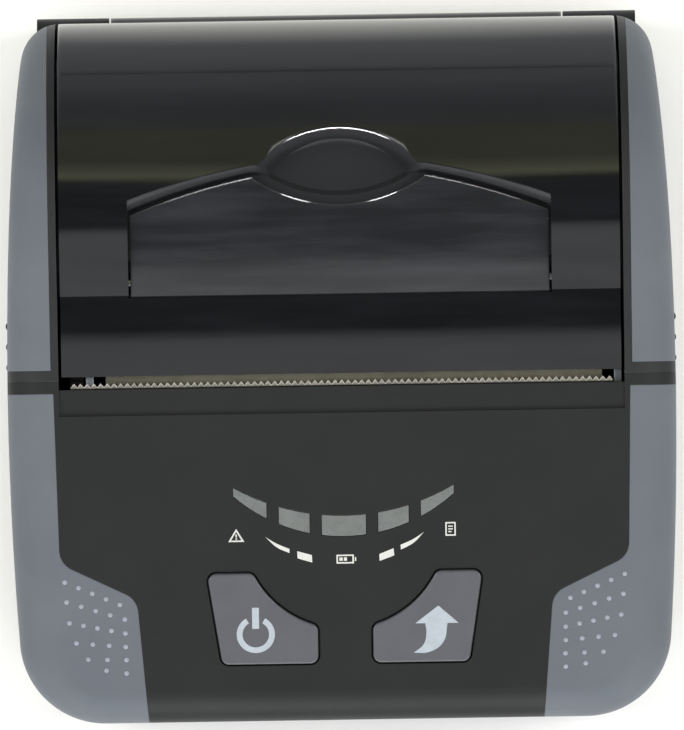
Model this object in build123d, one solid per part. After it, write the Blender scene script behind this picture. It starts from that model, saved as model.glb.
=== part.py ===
from build123d import *
from math import acos, atan2, cos, degrees, hypot, pi, radians, sin, sqrt, tan
import os

# Portable receipt printer lying on its back: X to the right, Y to the rear, Z up, millimetres.

# Receipt roll, the floor under it and its bay
roll_dia = 45.0
roll_clear = 1.0
roll_half = 40.9          # half width of the bay, for paper 80 wide
roll_shift = 2.0          # the bay lies to the right, as the gears are on the left
floor_t = 2.0
bay_wall = 1.4
bay_side_t = 1.5
bay_lift = 0.1            # bay wall above the floor
bay_front_y = 2.6
bay_r = roll_dia / 2 + roll_clear
bay_y = bay_front_y + bay_wall + bay_r
bay_z = floor_t + bay_lift + bay_wall + bay_r
bay_left = roll_shift - roll_half
bay_right = roll_shift + roll_half

# Cover and the side profile: the roll dome, then a straight slope down to the front
skin = 2.2
cover_air = 4.3           # between the bay's circle and the cover's inside
dome_y = bay_y - 0.5
dome_z = bay_z + 1.0
dome_r = bay_r + skin + cover_air
dome_top = dome_z + dome_r
slope = radians(13.0)
rear_y = dome_y + dome_r
slope_y = dome_y - dome_r * sin(slope)
slope_z = dome_z + dome_r * cos(slope)
cam_room = 1.2            # bay side to cover side
cover_half = bay_right + bay_side_t + cam_room
crease_y = dome_y - 15.0
crease_z = dome_z + sqrt(dome_r ** 2 - (dome_y - crease_y) ** 2)
cover_front_y = -1.1
lip_drop = 0.17           # front edge of the cover below the slope
lip_rise = 0.43           # crown of the front lip above its chord
flange_depth = 5.0
flange_t = 2.0
flange_y = dome_y - 10.0  # front end of the side flanges
front_rib = 2.8

# Body outline in plan
frame_gap = 0.5           # cover side to frame wall
frame_wall = 1.2
cheek_w = 7.2
frame_in = cover_half + frame_gap
frame_out = frame_in + frame_wall
body_half = frame_out + cheek_w
front_half = body_half - 2.1
rear_half = body_half - 3.3
far = 2 * body_half       # beyond every side of the body
tall = dome_top + 5.0
widest_y = 4.0
front_y = -58.0
front_corner = 14.0
edge_round = 6.5          # round between the top and the sides

# Shells
split_z = 22.0            # top of the base tub
wall = 2.2
panel_t = 2.4
grip_t = 1.4
cheek_t = 2.0
skin_in = frame_out + 0.05
part_y = -1.8             # parting line of the side band
cheek_y = 0.0             # front end of the cheeks
grip_y = -3.8             # rear end of the front grips
grip_edge_x = body_half - 7.5
grip_waist = (body_half - 8.0, front_y + 26.4)
grip_elbow = (body_half - 20.5, front_y + 20.4)
grip_foot_x = body_half - 22.3
grip_bend = 3.5

# Hinge
hinge_y = rear_y - 2.0
hinge_z = split_z - 2.0
hinge_r = 3.0
hinge_pin_r = 1.0
barrel_half = cover_half - 8.5
knuckle_in = barrel_half + 0.3
knuckle_out = frame_out + 2.0
hinge_gap = 0.4
run_gap = 0.05            # radial clearance of a shaft in its hole

# Opening lever
lever_half = cover_half - 11.5
lever_side_y = dome_y - 1.9     # where the straight sides end
lever_tip_x = 14.2              # ends of the finger notch
lever_tip_y = dome_y + 4.0
lever_notch_y = dome_y - 0.6
lever_bow = 0.5
lever_front_z = crease_z - 0.18
lever_mid_z = dome_top - 2.8
lever_rear_z = dome_top - 2.3
lever_t = 2.0
lever_gap = 0.35
lever_under_gap = 0.4
pocket_floor = 1.2
pocket_wall = 1.4
pivot_y = dome_y - 13.0
pivot_z = dome_top - 7.2
pivot_boss_r = 1.8
lever_nose_r = 3.65       # reach of the lever's front edge about its pivot
lever_shaft_r = 1.0
bevel_run = 2.0           # sloped recess wall behind the lever
well_rim_y = dome_y + 12.3
well_floor_z = dome_top - 6.5
well_taper = 24.0
cam_t = 1.2
cam_hub_r = 1.4
cam_reach = 6.6
cam_drop = 1.8
cam_nose_r = 0.8
coil_r = 1.45             # lever return springs
coil_wire = 0.35
coil_leg = 4.0
coil_l = 3.75
coil_end_gap = 0.3

# Platen and print head
lip_y = -3.2
platen_drop = 7.8         # platen's axis below the slope at the tear edge
platen_y = 1.0
platen_z = slope_z - (slope_y - lip_y) * tan(slope) - platen_drop
platen_r = 4.5
platen_end_gap = 0.4
platen_left = bay_left + platen_end_gap
platen_right = bay_right - platen_end_gap
platen_shaft_r = 2.0
bush_r = 3.0
bush_neck_r = 2.6
bush_gap = 0.2
arm_t = 1.2
arm_r = 3.4
arm_gap = 0.4             # arm to platen and arm to plate, along the axis
arm_left = platen_left - arm_gap - arm_t
arm_right = platen_right + arm_gap
plate_t = 1.2
plate_left = arm_left - arm_gap - plate_t
plate_right = arm_right + arm_t + arm_gap
plate_top_z = platen_z + 3.2
horn_y = platen_y + 7.2   # rear corner of the side plates, which the cams press
horn_z = platen_z + 1.6
trough_front_z = platen_z - 8.0
trough_rear_z = hinge_z + 10.0
ledge_t = 1.4
ledge_y = dome_y - 18.6
guide_gap = 0.7
guide_t = 1.2
head_gap = 0.05
ceramic_t = 0.8
sink_t = 3.0
head_face_y = platen_y - platen_r - head_gap
sink_face_y = head_face_y - ceramic_t
sink_back_y = sink_face_y - sink_t
head_low_z = platen_z - 8.0
head_top_z = platen_z + 3.2
trunnion_r = 1.0
trunnion_z = platen_z - 7.0
head_bar_top = platen_z - 8.6
head_bar_t = 2.2
spring_wall_t = 1.2
spring_wall_y = platen_y - 12.0
spring_r = 1.9
spring_x = 22.0
spring_z = platen_z - 0.6
spring_play = 0.7
cable_half = 9.0          # head cable
cable_t = 0.3
cable_notch_z = platen_z - 0.4
cable_gap = 0.5           # cable to heat sink, which rocks towards it
socket_h = 1.6            # cable socket on the board
socket_d = 4.0
socket_y = -19.5

# Drive
gear_module = 0.5
platen_teeth = 19
idler_teeth = 30
motor_teeth = 12
pressure = radians(20.0)
backlash = 0.10
mesh_gap = 0.06           # added to each centre distance
gear_w = 2.2
gear_gap = 0.4
gear_x = plate_left - gear_gap - gear_w
motor_y = platen_y - 11.5
motor_z = platen_z - 19.5
motor_r = 7.0
motor_l = 16.0
motor_boss_r = 3.0
motor_shaft_r = 0.75
idler_pin_r = 1.0

# Slot and tear blade
lip_t = 1.3
lip_strip = 4.3           # width of the lowered strip behind the blade edge
lip_step = 0.3
blade_t = 0.5
blade_end_gap = 1.9
blade_half = frame_in - blade_end_gap
blade_back_y = lip_y - 5.8
tooth_tip_y = lip_y + 0.7
tooth_count = 81
tooth_h = 0.7

# Buttons and status lenses
button_low_y = front_y + 9.5
button_top_y = button_low_y + 14.9
button_in_x = 4.5
button_step_y = button_low_y + 6.2
button_notch = (10.9, button_low_y + 9.6)
button_top_x = 15.0
button_out_x = 22.5
button_foot_x = 20.2
button_round = 1.3
button_gap = 0.3
button_proud = 0.4
button_flange = 0.9
button_flange_t = 0.8
button_travel = 0.5
lens_top = (18.0, -19.6)
lens_top_low_y = -24.4
lens_low = (18.0, -20.9)
lens_low_y = -27.7
lens_spans = ((-18.0, -12.6), (-10.6, -5.6), (-3.6, 3.6), (5.6, 10.6), (12.6, 18.0))
lens_gap = 0.08
lens_flange = 0.5
lens_flange_t = 0.6

# Boards, ports and battery
board_depth = 9.0
board_t = 1.6
board_half = body_half - 16.5
board_front_y = front_y + 8.0
board_rear_y = -17.0
switch_size = 6.0
switch_at = (12.5, button_low_y + 5.5)
stem_r = 1.6
switch_h = 3.2
led_h = 0.8
led_size = 1.6
battery_half = body_half - 19.3     # battery bay and the pack in it
battery_front_y = front_y + 3.6
battery_rear_y = -15.0
battery_wall_h = 15.5
battery_wall_t = 1.2
battery_h = 17.5
battery_gap = 0.5
door_half = battery_half - 1.2
door_t = 1.6
door_lift = 0.2
door_step = 0.9
door_gap = 0.15
socket_x = 1.6 - body_half      # mouths of the two sockets
port_board_z = 7.0
port_board_t = 1.2
port_board_w = 13.0
usb_y = front_y + 26.0
usb_w = 7.7
usb_h = 4.0
usb_l = 9.2
jack_y = usb_y + 8.5
jack_r = 2.8
jack_hole_r = 1.75
jack_l = 11.0
port_gap = 0.3

# Fastening
post_r = 2.5
screw_r = 1.1
screw_head_r = 2.0
screw_head_t = 1.4
screw_l = 8.0
pilot_r = 0.9
base_post_h = 3.0
front_post = (body_half - 11.0, front_y + 16.0)
rear_post = (barrel_half - 3.1, rear_y - 7.4)
board_posts = ((29.0, -21.0), (29.0, front_y + 11.0))
board_post_r = 2.3
board_screw_l = 4.0
board_head_t = 1.2
foot_l = 5.0              # mechanism feet: length, height and reach along Y
foot_t = 1.6
foot_w = 6.0
foot_xs = (plate_left - foot_l / 2, plate_right + plate_t + foot_l / 2)
foot_y = motor_y - motor_r - 1 + foot_w / 2
foot_screw_l = 1.3        # depth of the foot screws in the floor
stake_xs = (12.0, 36.0)
stake_y = -7.7
stake_r = 0.7
stake_head_r = 1.2
stake_head_t = 0.5

# Side ribs
rib_r = 0.8
rib_step = 3.4
rib_low = 4.0
rib_high = 19.0

side = Plane.YZ
panel_plane = Plane(origin=(0, slope_y, slope_z), x_dir=(1, 0, 0), z_dir=(0, -sin(slope), cos(slope)))


def block(x0, x1, y0, y1, z0, z1):
    return Pos((x0 + x1) / 2, (y0 + y1) / 2, (z0 + z1) / 2) * Box(x1 - x0, y1 - y0, z1 - z0)


def slab(face, x0, x1):
    return extrude(side.offset(x0) * face, amount=x1 - x0)


def rod(y, z, r, x0, x1):
    return slab(Pos(y, z) * Circle(r), x0, x1)


def pin(x, y, r, z0, z1):
    return Pos(x, y, z0) * Cylinder(r, z1 - z0, align=(Align.CENTER, Align.CENTER, Align.MIN))


def both_sides(shape):
    return shape + mirror(shape, about=Plane.YZ)


def outline(*edges):
    return make_face(Wire(edges))


def slope_top(y):
    """Height of the sloping top at this Y."""
    return slope_z - (slope_y - y) * tan(slope)


def slope_v(y):
    """Distance up the slope of a point of the sloping top that lies at this Y."""
    return (y - slope_y) / cos(slope)


def on_panel(face, w0, w1):
    """Solid between two depths below the sloping top, from a face drawn in X and distance up the slope."""
    return extrude(panel_plane.offset(w0) * face, amount=w1 - w0)


def panel_rect(x0, x1, y0, y1):
    v0, v1 = slope_v(y0), slope_v(y1)
    return Pos((x0 + x1) / 2, (v0 + v1) / 2) * Rectangle(x1 - x0, v1 - v0)


# Outer form

def plan_face(inset):
    corners = [(front_half, front_y), (rear_half, rear_y), (-rear_half, rear_y), (-front_half, front_y)]
    face = outline(
        ThreePointArc(corners[0], (body_half, widest_y), corners[1]),
        Line(corners[1], corners[2]),
        ThreePointArc(corners[2], (-body_half, widest_y), corners[3]),
        Line(corners[3], corners[0]),
    )
    face = fillet(face.vertices().sort_by(Axis.Y)[:2], front_corner)
    return offset(face, amount=-inset, kind=Kind.INTERSECTION) if inset else face


def profile_face(inset):
    front_z = slope_top(front_y)
    top = CenterArc((dome_y, dome_z), dome_r, 0, 90 + degrees(slope))
    face = outline(
        Line((front_y, -wall * 2), (front_y, front_z)),
        Line((front_y, front_z), (slope_y, slope_z)),
        top,
        Line((rear_y, dome_z), (rear_y, -wall * 2)),
        Line((rear_y, -wall * 2), (front_y, -wall * 2)),
    )
    return offset(face, amount=-inset, kind=Kind.INTERSECTION) if inset else face


def envelope(inset):
    """The body's outer form, or the same form set inwards, with its rounded top edges."""
    body = extrude(plan_face(inset), amount=tall) & slab(profile_face(inset), -body_half - 5, body_half + 5)

    def sharp(edge):
        low, high = edge.bounding_box().min, edge.bounding_box().max
        if high.Z < 0.1:
            return False
        if edge.geom_type != GeomType.LINE:
            return True
        along_x = high.X - low.X > 1
        return (low.Y < front_y + inset + 0.1) if along_x else (low.Y > rear_y - inset - 0.1)

    return fillet([e for e in body.edges() if sharp(e)], edge_round - inset)


outer = envelope(0)


def zone(x0, x1, y0, y1, z0=split_z, z1=tall):
    return block(x0, x1, y0, y1, z0, z1)


def grip_zone():
    """The right-hand front grip in plan: everything outside its S-shaped inner edge."""
    far = body_half + 5
    edge = FilletPolyline(
        (grip_edge_x, grip_y), grip_waist, grip_elbow, (grip_foot_x, front_y - 2), radius=grip_bend
    )
    face = outline(
        *edge.edges(),
        Line((grip_foot_x, front_y - 2), (far, front_y - 2)),
        Line((far, front_y - 2), (far, grip_y)),
        Line((far, grip_y), (grip_edge_x, grip_y)),
    )
    return extrude(Pos(0, 0, split_z) * face, amount=tall - split_z)


def front_grips():
    inner = envelope(grip_t)
    right = (outer - inner) & grip_zone()
    return right, mirror(right, about=Plane.YZ)


def button_face(grow=0.0):
    """Outline of the right-hand button on the sloping panel."""
    a = (button_in_x, slope_v(button_step_y))
    b = (button_top_x, slope_v(button_top_y))
    c = (button_out_x, slope_v(button_top_y))
    d = (button_foot_x, slope_v(button_low_y))
    e = (button_in_x, slope_v(button_low_y))
    notch = (button_notch[0], slope_v(button_notch[1]))
    face = outline(ThreePointArc(a, notch, b), Line(b, c), Line(c, d), Line(d, e), Line(e, a))
    face = fillet(face.vertices(), button_round)
    return offset(face, amount=grow, kind=Kind.ARC) if grow else face


def arc_under(low_y, end, grow):
    """Disc whose edge runs through the lowest point on the centre line and an end point, on the panel."""
    x, v = end[0], slope_v(end[1])
    rise = v - slope_v(low_y)
    r = (x * x + rise * rise) / (2 * rise)
    return Pos(0, slope_v(low_y) + r) * Circle(r + grow)


def lens_faces(grow=0.0):
    band = arc_under(lens_low_y, lens_low, grow) - arc_under(lens_top_low_y, lens_top, -grow)
    faces = []
    for x0, x1 in lens_spans:
        cut = Pos((x0 + x1) / 2, slope_v(lens_low_y)) * Rectangle(x1 - x0 + 2 * grow, 20)
        faces.append((band & cut).faces()[0])
    return faces


def posts(at, z0, z1, r):
    return both_sides(pin(at[0], at[1], r, z0, z1))


def front_housing():
    inner = envelope(panel_t)
    body = (outer - inner) & zone(-far, far, front_y - 1, part_y)
    body -= both_sides(grip_zone() - envelope(grip_t))
    body -= zone(-frame_in, frame_in, lip_y, part_y + 1)
    # the blade's seat under the lip, and the lowered strip on top of it
    body -= on_panel(panel_rect(-frame_in, frame_in, blade_back_y, 0), -panel_t * 2, -lip_t)
    body -= on_panel(panel_rect(-frame_in, frame_in, lip_y - lip_strip, 0), -lip_step, 5)
    for face in (button_face(button_gap), mirror(button_face(button_gap), about=Plane.YZ)):
        body -= on_panel(face, -panel_t * 2, 3)
    for face in lens_faces(lens_gap):
        body -= on_panel(face, -panel_t * 2, 3)
    columns = posts(front_post, base_post_h + floor_t, tall, post_r) & envelope_under_panel()
    body += columns
    body -= posts(front_post, 0, floor_t + base_post_h + screw_l, pilot_r)
    for at in board_posts:
        body += both_sides(panel_pin(at, board_post_r, -board_depth, 0.4 - panel_t))
        body -= both_sides(panel_pin(at, pilot_r, -board_depth - 1, board_screw_l - board_depth))
    for x in stake_xs:
        body += both_sides(stake(x))
    return body


def stake(x):
    """Moulded pin through the blade with a riveted head under it."""
    under = -lip_t - blade_t
    shank = panel_pin((x, stake_y), stake_r, under, 0.4 - lip_t)
    return shank + panel_pin((x, stake_y), stake_head_r, under - stake_head_t, under)


def panel_pin(at, r, w0, w1):
    """Cylinder square to the sloping top, between two depths below it."""
    return on_panel(Pos(at[0], slope_v(at[1])) * Circle(r), w0, w1)


def envelope_under_panel():
    """Everything below the sloping panel, and a little way into it."""
    return slab(profile_face(panel_t - 0.4), -body_half, body_half)


def base_shell():
    body = outer & block(-far, far, front_y - 1, rear_y + 1, 0, split_z)
    body -= envelope(wall) & block(-far, far, front_y - 1, rear_y + 1, floor_t, tall)
    low = [e for e in body.edges() if e.bounding_box().max.Z < 0.01]
    body = chamfer(low, 0.8)
    top_rear = hinge_z - hinge_r - hinge_gap - 0.2
    half = knuckle_out + hinge_gap
    body -= block(-half, half, hinge_y - hinge_r - 2, rear_y + 2, top_rear, tall)
    # battery bay walls and the stepped door opening
    bay_top = floor_t + battery_wall_h
    bay_out = battery_half + battery_wall_t
    bay = block(-bay_out, bay_out, front_y + wall / 2, battery_rear_y + battery_wall_t, floor_t / 2, bay_top)
    bay -= block(-battery_half, battery_half, front_y, battery_rear_y, 0, bay_top + 1)
    body += bay
    body -= block(-door_half, door_half, front_y - 1, battery_rear_y, -1, floor_t)
    body -= block(-battery_half, battery_half, front_y - 1, battery_rear_y, door_step, floor_t)
    # screw bosses
    for at in (front_post, rear_post):
        body += posts(at, floor_t / 2, floor_t + base_post_h - 0.05, post_r)
        body -= posts(at, -1, floor_t + base_post_h + 1, screw_r + 0.1)
        body -= posts(at, -1, screw_head_t + 0.2, screw_head_r + 0.3)
    for x in foot_xs:
        body -= pin(x, foot_y, pilot_r, floor_t - foot_screw_l, floor_t + 1)
    # side ribs
    for k in (-1, 0, 1):
        body += both_sides(pin(body_half, widest_y + k * rib_step, rib_r, rib_low, rib_high))
    # sockets in the left wall
    z = port_board_z + port_board_t
    half = usb_w / 2 + port_gap
    inside = socket_x + 8
    body -= block(-far, inside, usb_y - half, usb_y + half, z - port_gap, z + usb_h + port_gap)
    body -= rod(jack_y, z + jack_r, jack_r + port_gap, -far, inside)
    # rests for the socket board
    for y in (usb_y, jack_y):
        body += block(socket_x + 6, socket_x + 9, y - 2, y + 2, floor_t / 2, port_board_z)
    return body


def cheeks():
    inner = envelope(cheek_t)
    shell = (outer - inner) & zone(skin_in, far, cheek_y, rear_y + 1)
    shell -= rod(hinge_y, hinge_z, hinge_r + 0.1, skin_in - 5, knuckle_out + 0.1)
    shell = shell.solids().sort_by(SortBy.VOLUME)[-1]
    return shell, mirror(shell, about=Plane.YZ)


def disc(y, z, r):
    return Pos(y, z) * Circle(r)


def area(y0, y1, z0, z1):
    return Pos((y0 + y1) / 2, (z0 + z1) / 2) * Rectangle(y1 - y0, z1 - z0)


def knuckle():
    """Right-hand hinge knuckle with the block that joins it to the trough."""
    block_face = area(bay_y + bay_r, hinge_y, hinge_z - hinge_r, hinge_z + hinge_r)
    return rod(hinge_y, hinge_z, hinge_r, knuckle_in, knuckle_out) + slab(block_face, knuckle_in, frame_out)


def side_frames():
    """Thin walls between the cover and the cheeks, each with its side band."""
    right = outer & zone(frame_in, frame_out, part_y, rear_y + 1)
    right += (outer - envelope(cheek_t)) & zone(frame_in, far, part_y, cheek_y)
    right -= knuckle()
    return right, mirror(right, about=Plane.YZ)


def rear_frame():
    bay_out = bay_r + bay_wall
    ring = disc(bay_y, bay_z, bay_out) - disc(bay_y, bay_z, bay_r)
    ring -= area(bay_y - far, bay_y, trough_front_z, tall)
    ring -= area(bay_y - 0.01, bay_y + far, trough_rear_z, tall)
    left, right = bay_left - bay_side_t, bay_right + bay_side_t
    body = slab(ring, left, right)
    ledge_r = dome_r - flange_depth - 0.7
    web = disc(bay_y, bay_z, bay_out) & disc(dome_y, dome_z, ledge_r)
    body += slab(web, left, bay_left) + slab(web, bay_right, right)
    ledge = disc(dome_y, dome_z, ledge_r) - disc(dome_y, dome_z, ledge_r - ledge_t)
    ledge &= area(ledge_y, dome_y + far, dome_z, tall)
    body += slab(ledge, -frame_in, bay_left) + slab(ledge, bay_right, frame_in)
    body += both_sides(knuckle())
    # columns for the rear case screws
    body += posts(rear_post, floor_t + base_post_h, hinge_z - hinge_r - 0.5, post_r)
    body -= rod(bay_y, bay_z, bay_r, bay_left, bay_right)
    body -= posts(rear_post, 0, floor_t + base_post_h + screw_l, pilot_r)
    body -= rod(hinge_y, hinge_z, hinge_r + hinge_gap, -barrel_half - 0.3, barrel_half + 0.3)
    body -= rod(hinge_y, hinge_z, hinge_pin_r + run_gap, -knuckle_out + 1, knuckle_out - 1)
    return body


def cover_profile(inset):
    crease = (crease_y, crease_z)
    front = (cover_front_y, slope_top(cover_front_y) - lip_drop)
    mid = ((crease[0] + front[0]) / 2, (crease[1] + front[1]) / 2 + lip_rise)
    turn = degrees(atan2(crease[1] - dome_z, crease[0] - dome_y))
    face = outline(
        CenterArc((dome_y, dome_z), dome_r, 0, turn),
        ThreePointArc(crease, mid, front),
        Line(front, (cover_front_y, hinge_z)),
        Line((cover_front_y, hinge_z), (rear_y, hinge_z)),
        Line((rear_y, hinge_z), (rear_y, dome_z)),
    )
    return offset(face, amount=-inset, kind=Kind.INTERSECTION) if inset else face


def lever_top():
    """Side-view region under the lever's top surface."""
    y0, y1 = pivot_y - 4.0, lever_tip_y + 4.0
    ym = (crease_y + lever_tip_y) / 2
    arc = ThreePointArc((crease_y, lever_front_z), (ym, lever_mid_z), (lever_tip_y, lever_rear_z))
    front = arc % 0
    rear = arc % 1
    a = (y0, lever_front_z + (y0 - crease_y) * front.Y / front.X)
    b = (y1, lever_rear_z + (y1 - lever_tip_y) * rear.Y / rear.X)
    return outline(
        Line(a, (crease_y, lever_front_z)), arc, Line((lever_tip_y, lever_rear_z), b),
        Line(b, (y1, dome_z)), Line((y1, dome_z), (y0, dome_z)), Line((y0, dome_z), a),
    )


def lever_plan(grow, rear_grow):
    """The lever in plan with a square rear end; the finger notch is cut on its own."""
    x, tip = lever_half + grow, lever_tip_x
    y0 = crease_y - 6
    ys, yt = lever_side_y + rear_grow, lever_tip_y + rear_grow
    mid = ((x + tip) / 2, (ys + yt) / 2 + lever_bow)
    return outline(
        Line((x, y0), (x, ys)), ThreePointArc((x, ys), mid, (tip, yt)), Line((tip, yt), (-tip, yt)),
        ThreePointArc((-tip, yt), (-mid[0], mid[1]), (-x, ys)), Line((-x, ys), (-x, y0)),
        Line((-x, y0), (x, y0)),
    )


def eye_face(grow=0.0):
    """Plan of the finger well: two arcs that meet at the lever's notch ends."""
    left, right = (-lever_tip_x, lever_tip_y), (lever_tip_x, lever_tip_y)
    face = outline(
        ThreePointArc(left, (0, well_rim_y), right),
        ThreePointArc(right, (0, lever_notch_y), left),
    )
    return offset(face, amount=grow, kind=Kind.INTERSECTION) if grow else face


def drop(face, z0, z1):
    return extrude(Pos(0, 0, z0) * face, amount=z1 - z0)


def cam_face():
    """Release cam: an arm reaching forward from the lever's shaft."""
    hub = disc(pivot_y, pivot_z, cam_hub_r)
    nose = disc(pivot_y - cam_reach, pivot_z - cam_drop, cam_nose_r)
    return make_hull((hub + nose).edges())


def opening_lever():
    top = lever_top()
    plate = top - (Pos(0, -lever_t) * top)
    nose = disc(pivot_y, pivot_z, lever_nose_r) + area(pivot_y, lever_tip_y + 5, dome_z, tall)
    face = (plate & nose) + (disc(pivot_y, pivot_z, pivot_boss_r))
    body = slab(face, -lever_half, lever_half) & drop(lever_plan(0, 0), 0, tall)
    notch = eye_face() & Pos(0, lever_tip_y - 10) * Rectangle(4 * lever_tip_x, 20)
    body -= drop(notch, 0, tall)
    body -= rod(pivot_y, pivot_z, lever_shaft_r, -lever_half - 1, lever_half + 1)
    return body


def paper_cover():
    shape = cover_profile(0)
    hollow = cover_profile(skin)
    flange = cover_profile(flange_depth)
    body = slab(shape - hollow, -cover_half, cover_half)
    sides = slab(hollow - flange, -cover_half, -cover_half + flange_t)
    sides += slab(hollow - flange, cover_half - flange_t, cover_half)
    sides &= block(-far, far, flange_y, rear_y, dome_z + 8, tall)
    low_rear = hinge_z + hinge_r + hinge_gap + 0.2
    body -= block(-far, far, cover_front_y - 1, rear_y - skin, 0, dome_z)
    body -= block(-far, far, cover_front_y - 1, dome_y, 0, slope_top(cover_front_y) - lip_drop - front_rib)
    body += sides
    # pocket under the lever and the finger well, built up from below
    top = lever_top()
    deep = lever_t + lever_under_gap
    tub = shape - (Pos(0, -deep - pocket_floor) * top)
    tub &= area(pivot_y, lever_tip_y + 3.9, pivot_z - 3, tall)
    tub = slab(tub, -lever_half - lever_gap - pocket_wall, lever_half + lever_gap + pocket_wall)
    tub &= drop(lever_plan(lever_gap + pocket_wall, bevel_run + pocket_wall), 0, tall)
    half = lever_half + lever_gap
    nose = slab(pivot_room(pocket_floor) & shape, -half - pocket_wall, half + pocket_wall)
    well = drop(eye_face(1.6), well_floor_z - pocket_floor, tall) & slab(shape, -50, 50)
    body += tub + nose + well
    pocket = area(pivot_y, 50, dome_z, tall) - (Pos(0, -deep) * top)
    cut = slab(pocket, -half, half)
    cut &= drop(lever_plan(lever_gap, lever_gap), 0, tall) & block(-50, 50, pivot_y, far, 0, tall)
    body -= cut
    body -= slab(pivot_room(0), -half, half)
    body -= bevel_cut()
    body -= well_cut()
    # hinge barrel, with room for the knuckles at its ends
    for s in (-1, 1):
        ends = sorted((s * (barrel_half + 0.1), s * far))
        body -= block(ends[0], ends[1], hinge_y - 6, rear_y + 1, 0, low_rear)
    body += rod(hinge_y, hinge_z, hinge_r, -barrel_half, barrel_half)
    low = block(-far, far, 0, rear_y - skin - 0.01, 0, hinge_z + hinge_r)
    body -= low - rod(hinge_y, hinge_z, hinge_r, -far, far)
    body -= rod(hinge_y, hinge_z, hinge_pin_r + run_gap, -far, far)
    # holes for the lever's shaft
    body -= rod(pivot_y, pivot_z, lever_shaft_r + run_gap, -far, far)
    return body


def pivot_room(grow):
    """Side view of the room that the lever's front edge and boss turn in."""
    nose = disc(pivot_y, pivot_z, lever_nose_r + lever_gap + grow)
    nose &= area(pivot_y - 9, pivot_y + 9, pivot_z - lever_gap - 0.8 - grow, tall)
    above = area(crease_y - lever_gap - grow, pivot_y, lever_front_z - 0.5, tall)
    return nose + above + disc(pivot_y, pivot_z, pivot_boss_r + lever_gap + grow)


def bevel_cut():
    """Sloped wall behind the lever, from its rear edge up to the dome."""
    low = lever_plan(lever_gap, lever_gap)
    high = lever_plan(lever_gap, lever_gap + bevel_run)
    z0 = lever_rear_z - 1.2
    wedge = loft([Pos(0, 0, z0) * low, Pos(0, 0, dome_z + dome_r) * high])
    return wedge & block(-50, 50, pivot_y + 4, far, 0, tall)


def well_cut():
    rim = dome_z + dome_r
    depth = rim - well_floor_z
    cut = extrude(Pos(0, 0, rim - 1.5) * eye_face(), amount=-(depth - 1.5), taper=well_taper)
    return cut + drop(eye_face(), rim - 1.5, rim + 2)


def lever_shaft():
    return rod(pivot_y, pivot_z, lever_shaft_r, plate_left, plate_right + cam_t - 0.1)


def release_cams():
    left = slab(cam_face(), plate_left, plate_left + cam_t)
    right = slab(cam_face(), plate_right - 0.1, plate_right + cam_t - 0.1)
    return (left + right) - rod(pivot_y, pivot_z, lever_shaft_r, -far, far)


def lever_springs():
    """Torsion coils on the lever's shaft; each has one leg under the cover's skin."""
    x0 = lever_half + lever_gap + pocket_wall + coil_end_gap
    x1 = x0 + coil_l
    half = coil_wire / 2
    foot = disc(pivot_y, pivot_z + coil_r - half, half)
    end_y = pivot_y + coil_leg
    reach = dome_r - skin - half
    tip = disc(end_y, dome_z + sqrt(reach ** 2 - (dome_y - end_y) ** 2), half)
    coil = rod(pivot_y, pivot_z, coil_r, x0, x1) - rod(pivot_y, pivot_z, coil_r - coil_wire, x0, x1)
    leg = slab(make_hull((foot + tip).edges()), x0, x0 + coil_wire)
    return both_sides(coil + (leg - rod(pivot_y, pivot_z, coil_r - coil_wire, x0, x1)))


def platen_holder():
    bar = cover_profile(skin) - cover_profile(skin + 1.4)
    bar &= area(platen_y + 0.2, ledge_y + 0.4, platen_z + platen_r + 0.3, tall)
    body = slab(bar, arm_left, arm_right + arm_t)
    root = area(platen_y + 0.4, platen_y + 6, platen_z + 4.8, platen_z + 6.0)
    arm = make_hull((disc(platen_y, platen_z, arm_r) + root).edges())
    arm = slab(arm & cover_profile(skin), 0, arm_t)
    body += Pos(arm_left, 0, 0) * arm + Pos(arm_right, 0, 0) * arm
    return body - rod(platen_y, platen_z, bush_neck_r, -far, far)


def platen_bushes():
    left = rod(platen_y, platen_z, bush_r, plate_left, arm_left)
    left += rod(platen_y, platen_z, bush_neck_r, arm_left, arm_left + arm_t)
    right = rod(platen_y, platen_z, bush_r, arm_right + arm_t, plate_right + plate_t)
    right += rod(platen_y, platen_z, bush_neck_r, arm_right, arm_right + arm_t)
    return (left + right) - rod(platen_y, platen_z, platen_shaft_r + run_gap, -far, far)


def platen_roller():
    sleeve = rod(platen_y, platen_z, platen_r, platen_left, platen_right)
    return sleeve - rod(platen_y, platen_z, platen_shaft_r, -far, far)


def platen_shaft():
    return rod(platen_y, platen_z, platen_shaft_r, gear_x, plate_right + plate_t)


def gear_face(teeth, phase):
    """Involute gear outline; a tooth is centred at the phase angle, in radians from +Y towards +Z."""
    pitch_r = gear_module * teeth / 2
    base_r = pitch_r * cos(pressure)
    tip_r = pitch_r + 0.9 * gear_module
    root_r = pitch_r - 1.2 * gear_module
    half = pi / (2 * teeth) - backlash / (4 * pitch_r)

    def involute(r):
        angle = acos(min(1.0, base_r / r))
        return tan(angle) - angle

    def half_at(r):
        return half + involute(pitch_r) - involute(max(r, base_r))

    flank = [root_r, max(base_r, root_r), pitch_r, tip_r]
    points = []
    for k in range(teeth):
        mid = phase + 2 * pi * k / teeth
        rising = [(r, mid - half_at(r)) for r in flank]
        falling = [(r, mid + half_at(r)) for r in reversed(flank)]
        points += [(r * cos(a), r * sin(a)) for r, a in rising + falling]
    return make_face(Polyline(*points, close=True))


def centre_distance(a, b):
    return gear_module * (a + b) / 2 + mesh_gap


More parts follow.
